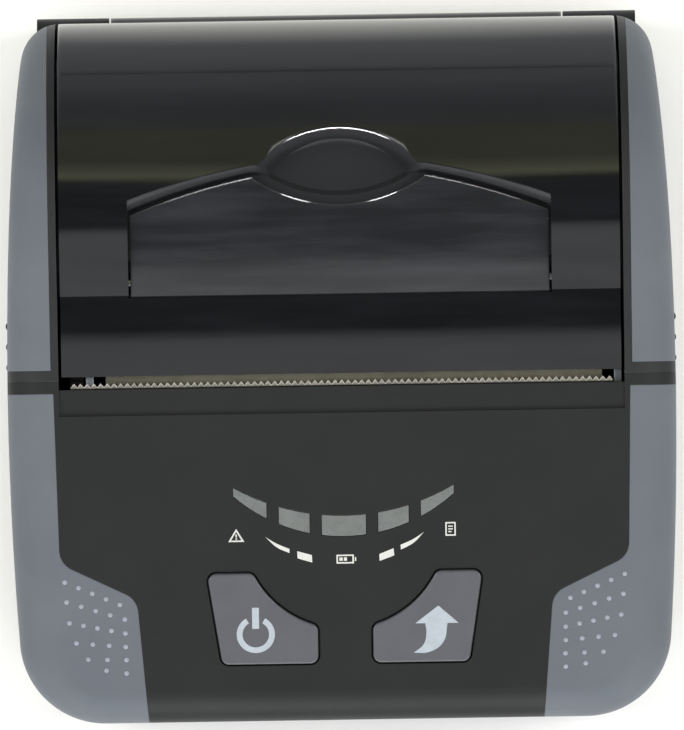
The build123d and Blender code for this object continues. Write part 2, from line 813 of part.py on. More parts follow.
def idler_place():
    """Where the idler meshes with both the motor pinion and the platen gear, on its front side."""
    a = centre_distance(motor_teeth, idler_teeth)
    b = centre_distance(platen_teeth, idler_teeth)
    dy, dz = platen_y - motor_y, platen_z - motor_z
    d = hypot(dy, dz)
    along = (a * a - b * b + d * d) / (2 * d)
    off = sqrt(a * a - along * along)
    return motor_y + (dy * along - dz * off) / d, motor_z + (dz * along + dy * off) / d


def meshed_phase(at_a, teeth_a, phase_a, at_b, teeth_b):
    """Phase of gear b so that its gap faces the tooth of gear a at their contact."""
    line = atan2(at_b[1] - at_a[1], at_b[0] - at_a[0])
    ahead = (line - phase_a) * teeth_a / (2 * pi)
    return line + pi + (ahead + 0.5) * 2 * pi / teeth_b


idler_at = idler_place()
platen_at = (platen_y, platen_z)
motor_at = (motor_y, motor_z)
idler_phase = meshed_phase(platen_at, platen_teeth, 0.0, idler_at, idler_teeth)
pinion_phase = meshed_phase(idler_at, idler_teeth, idler_phase, motor_at, motor_teeth)


def gear(at, teeth, phase, bore_r):
    body = slab(Pos(at[0], at[1]) * gear_face(teeth, phase), gear_x, gear_x + gear_w)
    return body - rod(at[0], at[1], bore_r, -far, 0)


def idler_gear():
    body = gear(idler_at, idler_teeth, idler_phase, idler_pin_r + run_gap)
    recess = disc(*idler_at, gear_module * idler_teeth / 2 - 2.0) - disc(*idler_at, 2.4)
    return body - slab(recess, gear_x - 1, gear_x + 0.6)


def motor_pinion():
    body = gear(motor_at, motor_teeth, pinion_phase, motor_shaft_r)
    return body + rod(*motor_at, motor_shaft_r, gear_x, plate_left + plate_t + 3.0)


def feed_motor():
    x0 = plate_left + plate_t
    body = rod(*motor_at, motor_r, x0, x0 + motor_l) + rod(*motor_at, motor_boss_r, plate_left + 0.2, x0)
    body = chamfer(body.edges().filter_by(GeomType.CIRCLE).sort_by(Axis.X)[-1], 0.6)
    return body - rod(*motor_at, motor_shaft_r + run_gap, -far, x0 + 3.2)


def idler_pin():
    return rod(*idler_at, idler_pin_r, gear_x + 0.3, plate_left + plate_t)


def plate_face():
    """Side view of a mechanism plate, with the open notch that the platen's bush drops into."""
    rear, front = platen_y + 5.5, motor_y - motor_r - 1
    top_front = spring_wall_y - spring_wall_t
    corners = [
        (horn_y, horn_z), (rear, plate_top_z), (top_front, plate_top_z), (front, motor_z + 4),
        (front, floor_t), (motor_y, floor_t), (motor_y + 4, motor_z - motor_r), (rear - 4, motor_z + 4),
        (horn_y, platen_z - 2),
    ]
    plate = make_face(Polyline(*corners, close=True))
    reach = hypot(platen_y - hinge_y, platen_z - hinge_z)
    lean = atan2((hinge_y - platen_y) / reach, (platen_z - hinge_z) / reach)
    notch_r = bush_r + bush_gap
    slot = Pos(platen_y, platen_z) * Rot(0, 0, degrees(lean)) * (Pos(5, 0) * Rectangle(10, 2 * notch_r))
    plate -= disc(platen_y, platen_z, notch_r) + slot
    return plate - disc(sink_face_y - sink_t / 2, trunnion_z, trunnion_r + run_gap)


def side_plate(x0, foot_x0):
    """Pressed side plate with its foot on the floor; the left one carries the motor and the idler."""
    body = slab(plate_face(), x0, x0 + plate_t)
    y0, y1 = foot_y - foot_w / 2, foot_y + foot_w / 2
    body += block(foot_x0, foot_x0 + foot_l + plate_t, y0, y1, floor_t, floor_t + foot_t)
    for x in foot_xs:
        body -= pin(x, foot_y, screw_r, 0, floor_t + foot_t + 1)
    return body


def left_plate():
    body = side_plate(plate_left, plate_left - foot_l)
    return body - rod(*motor_at, motor_boss_r, -far, 0) - rod(*idler_at, idler_pin_r, -far, 0)


def head_bridge():
    """Bar under the head and the wall with its spring cups, between the side plates."""
    inside = (plate_left + plate_t, plate_right)
    bar_low = head_bar_top - head_bar_t
    front = spring_wall_y - spring_wall_t
    body = block(*inside, front, head_face_y - 0.3, bar_low, head_bar_top)
    body += block(*inside, front, spring_wall_y, bar_low, plate_top_z - 0.4)
    body -= block(-cable_half - 1, cable_half + 1, front - 1, spring_wall_y + 1, cable_notch_z, tall)
    cup_r = spring_r + 0.3
    for s in (-1, 1):
        cup = Pos(s * spring_x, spring_wall_y, spring_z) * Rot(90, 0, 0)
        body += cup * Cylinder(cup_r + 0.8, 2.8, align=(Align.CENTER, Align.CENTER, Align.MIN))
        body -= cup * Cylinder(cup_r, 2.0, align=(Align.CENTER, Align.CENTER, Align.MIN))
    return body


def paper_guide():
    """Curved guide that leads the paper up between platen and head."""
    guide_r = platen_r + guide_gap
    guide = disc(platen_y, platen_z, guide_r + guide_t) - disc(platen_y, platen_z, guide_r)
    guide &= area(head_face_y + 0.1, platen_y + 3.4, platen_z - 10, platen_z - 3.6)
    return slab(guide, plate_left + plate_t, plate_right)


def mechanism_screws():
    top = floor_t + foot_t
    group = Part()
    for x in foot_xs:
        group += pin(x, foot_y, screw_head_r, top, top + board_head_t)
        group += pin(x, foot_y, pilot_r, floor_t - foot_screw_l, top)
    return group


def head_cable():
    """Flat cable from its socket on the board, through the spring wall, to the heat sink."""
    up, down = slope_v(socket_y + socket_d / 2), board_depth - socket_h / 2
    start = (
        slope_y + up * cos(slope) + down * sin(slope),
        slope_z + up * sin(slope) - down * cos(slope),
    )
    bend = (start[0] + 1.5 * cos(slope), start[1] + 1.5 * sin(slope))
    y_end = sink_back_y - cable_gap - cable_t / 2
    over = cable_notch_z + 1.0
    path = FilletPolyline(
        start, bend, (spring_wall_y - 2.2, over), (y_end, over), (y_end, head_low_z + 4.0), radius=0.6
    )
    return slab(trace(path, cable_t), -cable_half, cable_half)


def cable_socket():
    y0, y1 = socket_y - socket_d / 2, socket_y + socket_d / 2
    return on_panel(panel_rect(-cable_half - 1, cable_half + 1, y0, y1), -board_depth, socket_h - board_depth)


def print_head():
    return block(platen_left + 0.6, platen_right - 0.6, sink_face_y, head_face_y, head_low_z, head_top_z)


def head_heat_sink():
    x0, x1 = plate_left + plate_t + 0.3, plate_right - 0.3
    body = block(x0, x1, sink_back_y, sink_face_y, head_low_z, head_top_z)
    for k in range(3):
        z = head_low_z + 2.6 + 1.5 * k
        body -= block(x0 - 1, x1 + 1, sink_back_y - 1, sink_back_y + 1.2, z, z + 0.7)
    y = sink_face_y - sink_t / 2
    body += rod(y, trunnion_z, trunnion_r, plate_left + 0.1, plate_right + plate_t - 0.1)
    return body


def head_springs():
    length = sink_back_y - spring_wall_y + 2.0 - spring_play
    spring = Pos(0, sink_back_y, spring_z) * Rot(90, 0, 0)
    tube = Cylinder(spring_r, length, align=(Align.CENTER, Align.CENTER, Align.MIN))
    tube -= Cylinder(spring_r - 0.4, length, align=(Align.CENTER, Align.CENTER, Align.MIN))
    return Pos(-spring_x, 0, 0) * (spring * tube) + Pos(spring_x, 0, 0) * (spring * tube)


def tear_blade():
    pitch = 2 * blade_half / tooth_count
    tip, root, back = slope_v(tooth_tip_y), slope_v(tooth_tip_y) - tooth_h, slope_v(blade_back_y)
    points = []
    for k in range(tooth_count):
        x = -blade_half + k * pitch
        points += [(x, root), (x + pitch / 2, tip)]
    points += [(blade_half, root), (blade_half, back), (-blade_half, back)]
    body = on_panel(make_face(Polyline(*points, close=True)), -lip_t - blade_t, -lip_t)
    for x in stake_xs:
        body -= both_sides(panel_pin((x, stake_y), stake_r, -panel_t * 2, 0))
    return body


def button(side_sign):
    face = button_face()
    cap = on_panel(face, -panel_t - button_flange_t, button_proud)
    top = cap.edges().group_by(Axis(panel_plane.origin, panel_plane.z_dir))[-1]
    cap = fillet(top, 0.3)
    cap += on_panel(button_face(button_flange), -panel_t - button_flange_t, -panel_t)
    cap += panel_pin(switch_at, stem_r, -board_depth + switch_h + button_travel + 0.1, -panel_t)
    return cap if side_sign > 0 else mirror(cap, about=Plane.YZ)


def status_lens(index):
    body = on_panel(lens_faces()[index], -board_depth + led_h + 0.2, 0)
    body += on_panel(lens_faces(lens_flange)[index], -panel_t - lens_flange_t, -panel_t)
    return body


def status_leds():
    body = Part()
    for x0, x1 in lens_spans:
        x = (x0 + x1) / 2
        v = sum(face.center().Y for face in lens_faces() if abs(face.center().X - x) < 2)
        body += on_panel(Pos(x, v) * Rectangle(led_size, led_size / 2), -board_depth, -board_depth + led_h)
    return body


def main_board():
    face = panel_rect(-board_half, board_half, board_front_y, board_rear_y)
    body = on_panel(face, -board_depth - board_t, -board_depth)
    for at in board_posts:
        body -= both_sides(panel_pin(at, screw_r, -board_depth * 2, 0))
    return body


def board_screws():
    under = -board_depth - board_t
    group = Part()
    for at in board_posts:
        one = panel_pin(at, screw_head_r, under - board_head_t, under)
        one += panel_pin(at, pilot_r, under - board_head_t, board_screw_l - board_depth - 0.2)
        group += both_sides(one)
    return group


def button_switches():
    x, y = switch_at
    half = switch_size / 2
    case = panel_rect(x - half, x + half, y - half, y + half)
    switch = on_panel(case, -board_depth, -board_depth + switch_h - 0.6)
    return both_sides(switch + panel_pin(switch_at, stem_r, -board_depth, -board_depth + switch_h))


def battery_pack():
    x, g = battery_half - battery_gap, battery_gap
    body = block(-x, x, battery_front_y + g, battery_rear_y - g, floor_t, floor_t + battery_h)
    return fillet(body.edges().filter_by(Axis.X), 5.0)


def battery_door():
    z0 = door_lift
    half, rear = door_half - door_gap, battery_rear_y - door_gap
    plate = block(-half, half, front_y, rear, z0, z0 + door_t)
    half = battery_half - door_gap
    plate += block(-half, half, front_y + wall, rear, door_step + 0.05, z0 + door_t)
    for k in range(6):
        y = front_y + 6 + 1.6 * k
        plate -= block(-9, 9, y, y + 0.8, z0 - 1, z0 + 0.4)
    return plate


def port_board():
    x0 = socket_x + 1.4
    y0, y1 = usb_y - usb_w / 2 - 1.6, jack_y + jack_r + 0.7
    return block(x0, x0 + port_board_w, y0, y1, port_board_z, port_board_z + port_board_t)


def usb_socket():
    z, half, t = port_board_z + port_board_t, usb_w / 2, 0.4
    x0, x1 = socket_x, socket_x + usb_l
    shell = block(x0, x1, usb_y - half, usb_y + half, z, z + usb_h)
    shell -= block(-far, x1 - 1, usb_y - half + t, usb_y + half - t, z + t, z + usb_h - t)
    return shell + block(x0 + 1.4, x1 - 0.5, usb_y - 2.6, usb_y + 2.6, z + 1.6, z + 2.3)


def charge_jack():
    z = port_board_z + port_board_t
    x0 = socket_x
    body = rod(jack_y, z + jack_r, jack_r, x0, x0 + 3)
    body += block(x0 + 2.5, x0 + jack_l, jack_y - jack_r, jack_y + jack_r, z, z + 2 * jack_r)
    body -= rod(jack_y, z + jack_r, jack_hole_r, -far, x0 + 9)
    return body + rod(jack_y, z + jack_r, 0.5, x0 + 1.5, x0 + 10)


def screw(z0):
    head = pin(0, 0, screw_head_r, z0, z0 + screw_head_t)
    return head + pin(0, 0, pilot_r, z0, z0 + screw_l)


def case_screws():
    one = screw(0.2)
    return both_sides(Pos(*front_post, 0) * one) + both_sides(Pos(*rear_post, 0) * one)


def hinge_pin():
    return rod(hinge_y, hinge_z, hinge_pin_r, -knuckle_out + 1.2, knuckle_out - 1.2)


def save(shape, name):
    if isinstance(shape, (list, ShapeList)):
        shape = Compound(children=list(shape))
    export_step(shape, "parts/" + name + ".step")


def main():
    os.makedirs("parts", exist_ok=True)
    grip_right, grip_left = front_grips()
    cheek_right, cheek_left = cheeks()
    side_right, side_left = side_frames()
    parts = {
        "base_shell": base_shell(),
        "front_housing": front_housing(),
        "front_grip_right": grip_right,
        "front_grip_left": grip_left,
        "rear_cheek_right": cheek_right,
        "rear_cheek_left": cheek_left,
        "rear_frame": rear_frame(),
        "side_frame_right": side_right,
        "side_frame_left": side_left,
        "paper_cover": paper_cover(),
        "platen_holder": platen_holder(),
        "hinge_pin": hinge_pin(),
        "opening_lever": opening_lever(),
        "lever_shaft": lever_shaft(),
        "release_cams": release_cams(),
        "lever_springs": lever_springs(),
        "platen_bushes": platen_bushes(),
        "platen_roller": platen_roller(),
        "platen_shaft": platen_shaft(),
        "platen_gear": gear(platen_at, platen_teeth, 0.0, platen_shaft_r),
        "idler_gear": idler_gear(),
        "idler_pin": idler_pin(),
        "feed_motor": feed_motor(),
        "motor_pinion": motor_pinion(),
        "mechanism_plate_left": left_plate(),
        "mechanism_plate_right": side_plate(plate_right, plate_right),
        "head_bridge": head_bridge(),
        "paper_guide": paper_guide(),
        "mechanism_screws": mechanism_screws(),
        "head_cable": head_cable(),
        "cable_socket": cable_socket(),
        "print_head": print_head(),
        "head_heat_sink": head_heat_sink(),
        "head_springs": head_springs(),
        "tear_blade": tear_blade(),
        "power_button": button(-1),
        "feed_button": button(1),
        "button_switches": button_switches(),
        "status_leds": status_leds(),
        "main_board": main_board(),
        "board_screws": board_screws(),
        "battery_pack": battery_pack(),
        "battery_door": battery_door(),
        "port_board": port_board(),
        "usb_socket": usb_socket(),
        "charge_jack": charge_jack(),
        "case_screws": case_screws(),
    }
    for index in range(len(lens_spans)):
        parts["status_lens_" + str(index + 1)] = status_lens(index)
    for name, shape in parts.items():
        save(shape, name)


main()
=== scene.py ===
import bmesh
import bpy
from math import pi, radians
from mathutils import Matrix, Vector
from mathutils.bvhtree import BVHTree


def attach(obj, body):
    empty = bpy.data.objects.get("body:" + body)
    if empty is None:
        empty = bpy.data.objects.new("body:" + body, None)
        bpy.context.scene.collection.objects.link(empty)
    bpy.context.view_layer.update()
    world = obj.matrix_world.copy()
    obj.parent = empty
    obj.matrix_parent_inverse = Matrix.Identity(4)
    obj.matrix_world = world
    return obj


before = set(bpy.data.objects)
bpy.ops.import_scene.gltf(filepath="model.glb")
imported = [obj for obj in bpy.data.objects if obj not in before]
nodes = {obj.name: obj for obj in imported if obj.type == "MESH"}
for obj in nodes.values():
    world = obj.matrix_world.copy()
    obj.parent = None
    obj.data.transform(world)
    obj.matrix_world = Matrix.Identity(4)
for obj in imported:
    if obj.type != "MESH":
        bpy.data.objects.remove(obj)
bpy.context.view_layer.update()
mm = 0.001
print("frame loaded:", len(nodes), "CAD nodes")


def linear(hexColour):
    parts = [int(hexColour[i:i + 2], 16) / 255 for i in (0, 2, 4)]
    return [c / 12.92 if c <= 0.04045 else ((c + 0.055) / 1.055) ** 2.4 for c in parts] + [1.0]


def addNode(tree, kind, values=None, links=None, **settings):
    node = tree.nodes.new(kind)
    for key, value in settings.items():
        setattr(node, key, value)
    for key, value in (values or {}).items():
        node.inputs[key].default_value = value
    for key, socket in (links or {}).items():
        tree.links.new(socket, node.inputs[key])
    return node


def zone(tree, coords, axis, fromMm, toMm, low=0.0, high=1.0):
    # low on the near side of a line across the piece, high behind it
    split = addNode(tree, "ShaderNodeSeparateXYZ", {}, {"Vector": coords})
    step = addNode(tree, "ShaderNodeMapRange",
                   {"From Min": fromMm * mm, "From Max": toMm * mm, "To Min": low, "To Max": high},
                   {"Value": split.outputs[axis]})
    return step.outputs["Result"]


def outsideOf(tree, coords, axisMm, radiusMm, blendMm=0.05):
    # 0 inside and 1 outside a cylinder along X
    local = addNode(tree, "ShaderNodeVectorMath", {1: [c * mm for c in axisMm]}, {0: coords},
                    operation="SUBTRACT")
    flat = addNode(tree, "ShaderNodeVectorMath", {1: (0, 1, 1)}, {0: local.outputs["Vector"]},
                   operation="MULTIPLY")
    reach = addNode(tree, "ShaderNodeVectorMath", {}, {0: flat.outputs["Vector"]}, operation="LENGTH")
    step = addNode(tree, "ShaderNodeMapRange",
                   {"From Min": (radiusMm - blendMm) * mm, "From Max": (radiusMm + blendMm) * mm},
                   {"Value": reach.outputs["Value"]})
    return step.outputs["Result"]


# what every finish shares, unless its own look says otherwise
common = {
    "mottleSpan": (0.35, 0.65), "grainSpan": (0.3, 0.7), "mottleDetail": 4.0, "mottleRoughness": 0.55,
    "grainDetail": 3.0, "grainRoughness": 0.6, "edgeMm": 0.15, "edgeSamples": 8, "bump": 0.2,
    "glossyBelow": 0.2,  # roughness under which the mottle, and not the grain, makes it vary
}


def surface(name, look):
    # every finish: mottled colour, grain bump and roughness that varies, all on Object coordinates
    material = bpy.data.materials.new(name)
    material.use_nodes = True
    tree = material.node_tree
    shader = tree.nodes["Principled BSDF"]
    for key, value in look.get("shader", {}).items():
        shader.inputs[key].default_value = value
    coords = addNode(tree, "ShaderNodeTexCoord").outputs["Object"]
    stretch = addNode(tree, "ShaderNodeMapping", {"Scale": look.get("stretch", (1, 1, 1))},
                      {"Vector": coords})
    stretched = stretch.outputs["Vector"]
    mottle = addNode(tree, "ShaderNodeTexNoise",
                     {"Scale": 1 / (look["mottleMm"] * mm), "Detail": common["mottleDetail"],
                      "Roughness": common["mottleRoughness"]},
                     {"Vector": stretched if look.get("streaks") else coords})
    grain = addNode(tree, "ShaderNodeTexNoise",
                    {"Scale": 1 / (look["grainMm"] * mm), "Detail": common["grainDetail"],
                     "Roughness": common["grainRoughness"]},
                    {"Vector": stretched})
    shades = addNode(tree, "ShaderNodeMix", {6: linear(look["colour"]), 7: linear(look["other"])},
                     data_type="RGBA")
    mottleLow, mottleHigh = common["mottleSpan"]
    spread = addNode(tree, "ShaderNodeMapRange", {"From Min": mottleLow, "From Max": mottleHigh},
                     {"Value": mottle.outputs["Fac"]})
    tree.links.new(spread.outputs["Result"], shades.inputs["Factor"])
    colour = shades.outputs[2]
    grainLow, grainHigh = common["grainSpan"]
    if look.get("speckle"):  # fine light and dark flecks between the peaks of the grain
        fleck = addNode(tree, "ShaderNodeMapRange",
                        {"From Min": grainLow, "From Max": grainHigh,
                         "To Min": 1 - look["speckle"], "To Max": 1 + look["speckle"]},
                        {"Value": grain.outputs["Fac"]})
        scaled = addNode(tree, "ShaderNodeVectorMath", {}, {0: colour}, operation="SCALE")
        tree.links.new(fleck.outputs["Result"], scaled.inputs["Scale"])
        colour = scaled.outputs["Vector"]
    if look.get("root"):  # painted shade: a dark tone in front of a line across the piece
        tone, fromMm, toMm = look["root"]
        behind = zone(tree, coords, "Y", fromMm, toMm)
        paintedShadeTone = addNode(tree, "ShaderNodeMix", {6: linear(tone)}, {7: colour, "Factor": behind},
                        data_type="RGBA")
        colour = paintedShadeTone.outputs[2]
    low, high = look["roughness"]
    varied = mottle if low <= common["glossyBelow"] else grain
    rough = addNode(tree, "ShaderNodeMapRange",
                    {"From Min": grainLow, "From Max": grainHigh, "To Min": low, "To Max": high},
                    {"Value": varied.outputs["Fac"]})
    roughness = rough.outputs["Result"]
    if look.get("core"):  # satin and greyer below the polished skin: recess, finger well and inside
        core = look["core"]
        skin = outsideOf(tree, coords, core["axisMm"], core["radiusMm"])
        tinted = addNode(tree, "ShaderNodeMix", {6: linear(core["colour"])}, {7: colour, "Factor": skin},
                         data_type="RGBA")
        colour = tinted.outputs[2]
        satin = addNode(tree, "ShaderNodeMix", {2: core["roughness"]}, {3: roughness, "Factor": skin})
        roughness = satin.outputs[0]
    tree.links.new(colour, shader.inputs["Base Color"])
    tree.links.new(roughness, shader.inputs["Roughness"])
    edge = addNode(tree, "ShaderNodeBevel", {"Radius": look.get("edgeMm", common["edgeMm"]) * mm},
                   samples=common["edgeSamples"])
    if look.get("crisp"):  # edges in front of this line stay sharp
        radius = zone(tree, coords, "Y", *look["crisp"], 0.0, look["edgeMm"] * mm)
        tree.links.new(radius, edge.inputs["Radius"])
    bump = addNode(tree, "ShaderNodeBump",
                   {"Strength": look.get("bump", common["bump"]), "Distance": look["depthMm"] * mm},
                   {"Height": grain.outputs["Fac"], "Normal": edge.outputs["Normal"]})
    tree.links.new(bump.outputs["Normal"], shader.inputs["Normal"])
    return material


looks = {
    # black ABS from a spark-eroded tool: a fine matt grain that spreads every highlight
    "sparkErodedBlackAbs": dict(colour="161718", other="1A1B1C", mottleMm=9, grainMm=0.35, depthMm=0.02,
                                roughness=(0.42, 0.58), speckle=0.1, bump=0.35, edgeMm=0.2,
                                shader={"Specular IOR Level": 0.35}),
    # front panel ABS, finer grain and a touch lighter
    "finelyGrainedPanelAbs": dict(colour="151716", other="181A19", mottleMm=14, grainMm=0.3, depthMm=0.015,
                                  roughness=(0.46, 0.6), speckle=0.1, bump=0.3, edgeMm=0.2,
                                  shader={"Specular IOR Level": 0.24}),
    # soft-touch lacquer over ABS: smooth, silky and evenly tinted
    "softTouchBlueGreyLacquer": dict(colour="53585F", other="575C62", mottleMm=12, grainMm=0.22,
                                     depthMm=0.006, roughness=(0.6, 0.7), speckle=0.03, bump=0.25, edgeMm=0.3,
                                     shader={"Specular IOR Level": 0.3, "Sheen Weight": 0.08,
                                             "Sheen Roughness": 0.5}),
    # polished smoked polycarbonate: black in depth with a clear gloss and slow waves from moulding
    "polishedSmokedPolycarbonate": dict(colour="060708", other="0E0F11", mottleMm=3, grainMm=5.0,
                                        depthMm=0.03, roughness=(0.04, 0.08), bump=0.4, edgeMm=1.2,
                                        crisp=(34.5, 36), stretch=(0.12, 1, 1), streaks=True,
                                        core=dict(axisMm=(0, 27, 28), radiusMm=29.7, colour="252628",
                                                  roughness=0.2),
                                        shader={"IOR": 1.585}),
    # the lever's own moulding, a little greyer
    "polishedLeverPolycarbonate": dict(colour="1B1C1E", other="2A2B2E", mottleMm=3, grainMm=4.0, depthMm=0.03,
                                       roughness=(0.05, 0.09), bump=0.45, edgeMm=0.6,
                                       stretch=(0.1, 1, 1), streaks=True,
                                       shader={"IOR": 1.585}),
    # raised dots of the same lacquer, a little paler: a painted highlight on their tops
    "gripDotsPaintedHighlight": dict(colour="7E848E", other="838994", mottleMm=4, grainMm=0.22, depthMm=0.004,
                         roughness=(0.5, 0.6), bump=0.2),
    # moulded black acetal of gears, cams and bushes: slippery, with a soft sheen
    "blackAcetal": dict(colour="1A1A1B", other="222223", mottleMm=4, grainMm=0.5, depthMm=0.006,
                        roughness=(0.32, 0.42), bump=0.2),
    # undyed acetal: milky, with light that sinks in
    "naturalAcetal": dict(colour="E2DFD3", other="D6D2C4", mottleMm=3, grainMm=0.4, depthMm=0.006,
                          roughness=(0.3, 0.4), bump=0.2, shader={"Subsurface Weight": 0.1}),
    # centreless-ground rod: bright, with fine rings round it
    "groundSteelRod": dict(colour="B9BBBD", other="A6A8AB", mottleMm=6, grainMm=0.12, depthMm=0.003,
                           roughness=(0.22, 0.34), stretch=(8, 1, 1), shader={"Metallic": 1.0}),
    # drawn wire, a darker steel
    "drawnSpringWire": dict(colour="9C9EA2", other="87898D", mottleMm=3, grainMm=0.2, depthMm=0.003,
                            roughness=(0.25, 0.38), shader={"Metallic": 1.0}),
    # zinc plating: cool grey with a cloudy spangle
    "zincPlatedSheet": dict(colour="B4B8BB", other="9DA2A8", mottleMm=2.2, grainMm=0.6, depthMm=0.006,
                            roughness=(0.3, 0.45), shader={"Metallic": 1.0}),
    # stamped stainless strip: bright teeth brushed along the strip, with painted shade (a dark tone) in front
    # of the teeth's bases, where the slot's lip shades it
    "brushedStainlessStrip": dict(colour="BBB7AE", other="ADAAA0", mottleMm=5, grainMm=0.15, depthMm=0.004,
                                  roughness=(0.36, 0.5), stretch=(0.08, 1, 1), root=("1B1C1C", -3.1, -2.9),
                                  shader={"Metallic": 0.85}),
    # ground silicone rubber of the platen, olive-beige and dry
    "groundSiliconeRubber": dict(colour="8B8876", other="9B9783", mottleMm=4, grainMm=0.25, depthMm=0.02,
                                 roughness=(0.6, 0.75), stretch=(0.5, 1, 1), speckle=0.08, bump=0.4),
    # glazed alumina of the print head: smooth and off-white
    "glazedAlumina": dict(colour="D8D4C8", other="CFCABC", mottleMm=6, grainMm=0.3, depthMm=0.004,
                          roughness=(0.2, 0.3)),
    # extruded aluminium: pale, with die lines along its length
    "extrudedAluminium": dict(colour="C4C6C8", other="B3B5B8", mottleMm=5, grainMm=0.3, depthMm=0.008,
                              roughness=(0.3, 0.42), stretch=(0.06, 1, 1), shader={"Metallic": 1.0}),
    # satin paint on the button caps: soft highlights on a warm grey
    "satinButtonPaint": dict(colour="47484D", other="4B4C51", mottleMm=7, grainMm=0.25, depthMm=0.006,
                             roughness=(0.36, 0.44), speckle=0.03, bump=0.25, edgeMm=0.3),
    # diffusing polycarbonate light pipes, milky grey when unlit
    "diffusingLensPc": dict(colour="626260", other="6C6C6A", mottleMm=2.4, grainMm=0.3, depthMm=0.006,
                            roughness=(0.25, 0.35), shader={"Subsurface Weight": 0.2}),
    # solder mask over laminate: green, glossy and slightly uneven
    "greenSolderMask": dict(colour="14502C", other="1B6236", mottleMm=1.4, grainMm=0.4, depthMm=0.02,
                            roughness=(0.3, 0.4)),
    # moulded battery case: plain dark grey with a matt grain
    "mouldedBatteryCase": dict(colour="2B2C2F", other="323337", mottleMm=8, grainMm=0.4, depthMm=0.015,
                               roughness=(0.45, 0.55), speckle=0.06),
    # black zinc on steel: dark with a metallic glint
    "blackZincScrew": dict(colour="3A3B3D", other="2C2D2F", mottleMm=1.5, grainMm=0.3, depthMm=0.004,
                           roughness=(0.3, 0.42), shader={"Metallic": 0.9}),
    # polyimide film of the flat cable: amber with a smooth gloss
    "amberPolyimideFilm": dict(colour="A8641E", other="96540F", mottleMm=3, grainMm=0.8, depthMm=0.004,
                               roughness=(0.25, 0.35), stretch=(4, 0.3, 0.3)),
    # white moulded package of the light-emitting diodes
    "mouldedLedPackage": dict(colour="E8E6DA", other="DEDCCF", mottleMm=1, grainMm=0.2, depthMm=0.003,
                              roughness=(0.3, 0.4)),
    # screen-printed inks: flat, a little rough at the surface
    "whiteScreenInk": dict(colour="BEBEBA", other="B6B6B2", mottleMm=1.2, grainMm=0.12, depthMm=0.006,
                           roughness=(0.5, 0.6), edgeMm=0.02),
    "paleBlueScreenInk": dict(colour="9CA3AB", other="959CA4", mottleMm=1.2, grainMm=0.12, depthMm=0.006,
                              roughness=(0.45, 0.55), edgeMm=0.02),
}
finish = {name: surface(name, look) for name, look in looks.items()}

nodeFinish = {
    "base_shell": "sparkErodedBlackAbs", "rear_frame": "sparkErodedBlackAbs",
    "battery_door": "sparkErodedBlackAbs",
    "front_housing": "finelyGrainedPanelAbs",
    "front_grip_right": "softTouchBlueGreyLacquer", "front_grip_left": "softTouchBlueGreyLacquer",
    "rear_cheek_right": "softTouchBlueGreyLacquer", "rear_cheek_left": "softTouchBlueGreyLacquer",
    "paper_cover": "polishedSmokedPolycarbonate", "opening_lever": "polishedLeverPolycarbonate",
    "platen_holder": "blackAcetal", "release_cams": "blackAcetal", "platen_bushes": "blackAcetal",
    "button_switches": "blackAcetal", "charge_jack": "blackAcetal",
    "platen_gear": "blackAcetal", "idler_gear": "blackAcetal", "motor_pinion": "blackAcetal",
    "cable_socket": "naturalAcetal",
    "hinge_pin": "groundSteelRod", "lever_shaft": "groundSteelRod", "platen_shaft": "groundSteelRod",
    "idler_pin": "groundSteelRod", "usb_socket": "zincPlatedSheet",
    "head_springs": "drawnSpringWire", "lever_springs": "drawnSpringWire",
    "mechanism_plate_left": "zincPlatedSheet", "mechanism_plate_right": "zincPlatedSheet",
    "head_bridge": "zincPlatedSheet", "feed_motor": "zincPlatedSheet", "paper_guide": "blackAcetal",
    "side_frame_right": "sparkErodedBlackAbs", "side_frame_left": "sparkErodedBlackAbs",
    "tear_blade": "brushedStainlessStrip", "platen_roller": "groundSiliconeRubber",
    "print_head": "glazedAlumina", "head_heat_sink": "extrudedAluminium",
    "power_button": "satinButtonPaint", "feed_button": "satinButtonPaint",
    "main_board": "greenSolderMask", "port_board": "greenSolderMask",
    "battery_pack": "mouldedBatteryCase", "status_leds": "mouldedLedPackage",
    "case_screws": "blackZincScrew", "board_screws": "blackZincScrew",
    "mechanism_screws": "blackZincScrew",
    "head_cable": "amberPolyimideFilm",
}
for name, node in nodes.items():
    material = finish[nodeFinish.get(name, "diffusingLensPc")]  # the five status lenses aren't listed
    node.data.materials.clear()
    node.data.materials.append(material)
print("materials:", len(finish))

# the panel's plane: a point where it meets the dome, and its slope
panel = {"originMm": (0, 20.2514, 57.2311), "slopeDegrees": 13.0}
panelTurn = Matrix.Rotation(radians(panel["slopeDegrees"]), 4, "X")
panelPlace = Matrix.Translation([c * mm for c in panel["originMm"]]) @ panelTurn


def keepPiece(name, mesh, material, body):
    mesh.name = name
    piece = bpy.data.objects.new(name, mesh)
    bpy.context.scene.collection.objects.link(piece)
    mesh.materials.clear()
    mesh.materials.append(finish[material])
    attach(piece, body)
    return piece


def flatSign(name, outlines, look, material, body):
    # outlines are closed loops in millimetres on the panel; a point with a third value is rounded
    curve = bpy.data.curves.new(name, "CURVE")
    curve.dimensions = "2D"
    curve.fill_mode = "BOTH"
    curve.extrude = look["inkMm"] * mm
    for loop in outlines:
        spline = curve.splines.new("BEZIER")
        spline.bezier_points.add(len(loop) - 1)
        spline.use_cyclic_u = True
        spline.resolution_u = look["curveSteps"]
        for point, at in zip(spline.bezier_points, loop):
            point.co = (at[0] * mm, at[1] * mm, 0)
            smooth = len(at) > 2
            point.handle_left_type = point.handle_right_type = "AUTO" if smooth else "VECTOR"
    maker = bpy.data.objects.new(name, curve)
    bpy.context.scene.collection.objects.link(maker)
    bpy.context.view_layer.update()
    mesh = bpy.data.meshes.new_from_object(maker.evaluated_get(bpy.context.evaluated_depsgraph_get()))
    bpy.data.objects.remove(maker)
    mesh.transform(panelPlace @ Matrix.Translation((0, 0, look["heightMm"] * mm)))
    return keepPiece(name, mesh, material, body)


